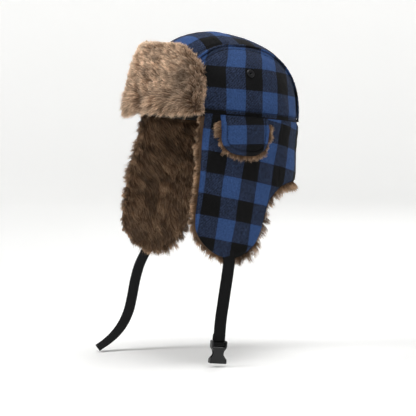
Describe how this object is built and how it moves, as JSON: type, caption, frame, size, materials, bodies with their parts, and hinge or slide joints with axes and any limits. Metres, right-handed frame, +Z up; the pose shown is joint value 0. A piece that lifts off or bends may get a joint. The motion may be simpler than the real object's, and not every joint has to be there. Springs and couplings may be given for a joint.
{
  "type": "trapper hat",
  "caption": "Check-fabric winter hat with a fur visor turned up in front, hanging ear flaps with lift-up covers, a neck curtain and webbing chin straps, one ending in a buckle socket.",
  "frame": {"origin": "middle of the head opening, at the height of the band, on the hat's plane of symmetry", "axes": "+Z up, the hat's front faces -Y, +X is the wearer's left; the band is tipped 5 degrees, lower at the back"},
  "size_m": [0.2031, 0.2337, 0.4086],
  "materials": {
    "plaid": "brushed check flannel",
    "fur": "deep pile faux fur",
    "wadding": "soft",
    "lining": "smooth woven",
    "webbing": "woven",
    "plastic": "moulded",
    "metal": "blackened"
  },
  "bodies": {
    "crown": {"crown_centre_panel": "plaid", "crown_lining_centre": "lining", "crown_lining_left": "lining", "crown_lining_right": "lining", "crown_padding_centre": "wadding", "crown_padding_left": "wadding", "crown_padding_right": "wadding", "crown_seam_welt_left": "plaid", "crown_seam_welt_right": "plaid", "crown_side_panel_left": "plaid", "crown_side_panel_right": "plaid", "neck_curtain_fur": "fur", "neck_curtain_padding": "wadding", "neck_curtain_shell": "plaid", "sweatband": "lining", "vent_eyelet_left": "metal", "vent_eyelet_right": "metal", "vent_washer_left": "metal", "vent_washer_right": "metal"},
    "visor_centre": {"visor_fur_centre": "fur", "visor_padding_centre": "wadding", "visor_shell_centre": "plaid"},
    "visor_left": {"visor_fur_left": "fur", "visor_padding_left": "wadding", "visor_shell_left": "plaid"},
    "visor_right": {"visor_fur_right": "fur", "visor_padding_right": "wadding", "visor_shell_right": "plaid"},
    "earflap_left": {"earflap_fur_left": "fur", "earflap_padding_left": "wadding", "earflap_shell_left": "plaid"},
    "earflap_right": {"earflap_fur_right": "fur", "earflap_padding_right": "wadding", "earflap_shell_right": "plaid"},
    "ear_cover_left": {"ear_cover_fur_left": "fur", "ear_cover_shell_left": "plaid"},
    "ear_cover_right": {"ear_cover_fur_right": "fur", "ear_cover_shell_right": "plaid"},
    "strap_left": {"strap_left": "webbing", "strap_left_buckle_loop": "webbing"},
    "strap_right": {"strap_right": "webbing"},
    "buckle": {"buckle_socket": "plastic"}
  },
  "joints": [
    {"name": "visor_fold", "type": "hinge", "parent": "crown", "child": "visor_centre", "pos_m": [0, -0.12433, 0.01088], "axis": [1, 0, 0], "range_deg": [0, 160]},
    {"name": "visor_left_fold", "type": "hinge", "parent": "crown", "child": "visor_left", "pos_m": [0.04595, -0.11256, 0.00985], "axis": [0.7404, 0.6696, -0.0586], "range_deg": [0, 160]},
    {"name": "visor_right_fold", "type": "hinge", "parent": "crown", "child": "visor_right", "pos_m": [-0.04595, -0.11256, 0.00985], "axis": [0.7404, -0.6696, 0.0586], "range_deg": [0, 160]},
    {"name": "earflap_left_fold", "type": "hinge", "parent": "crown", "child": "earflap_left", "pos_m": [0.0942, -0.01594, 0.00139], "axis": [0, -0.9962, 0.0872], "range_deg": [0, 170]},
    {"name": "earflap_right_fold", "type": "hinge", "parent": "crown", "child": "earflap_right", "pos_m": [-0.0942, -0.01594, 0.00139], "axis": [0, 0.9962, -0.0872], "range_deg": [0, 170]},
    {"name": "ear_cover_left_lift", "type": "hinge", "parent": "earflap_left", "child": "ear_cover_left", "pos_m": [0.0985, -0.01611, -0.0006], "axis": [0, 0.9962, -0.0872], "range_deg": [-140, 0]},
    {"name": "ear_cover_right_lift", "type": "hinge", "parent": "earflap_right", "child": "ear_cover_right", "pos_m": [-0.0985, -0.01611, -0.0006], "axis": [0, -0.9962, 0.0872], "range_deg": [-140, 0]},
    {"name": "strap_left_hang", "type": "hinge", "parent": "earflap_left", "child": "strap_left", "pos_m": [0.079, -0.0445, -0.1772], "axis": [0, -0.9962, 0.0872], "range_deg": [-170, 0]},
    {"name": "strap_right_hang", "type": "hinge", "parent": "earflap_right", "child": "strap_right", "pos_m": [-0.079, -0.046, -0.1772], "axis": [0, 0.9962, -0.0872], "range_deg": [-170, 0]},
    {"name": "buckle_swing", "type": "hinge", "parent": "strap_left", "child": "buckle", "pos_m": [0.093, -0.05974, -0.27738], "axis": [0.2512, 0.9631, -0.0963], "range_deg": [-60, 60]}
  ],
  "couplings": [
    {"joint": "visor_left_fold", "follows": "visor_fold", "ratio": 1},
    {"joint": "visor_right_fold", "follows": "visor_fold", "ratio": 1},
    {"joint": "strap_left_hang", "follows": "earflap_left_fold", "ratio": -1},
    {"joint": "strap_right_hang", "follows": "earflap_right_fold", "ratio": -1}
  ]
}
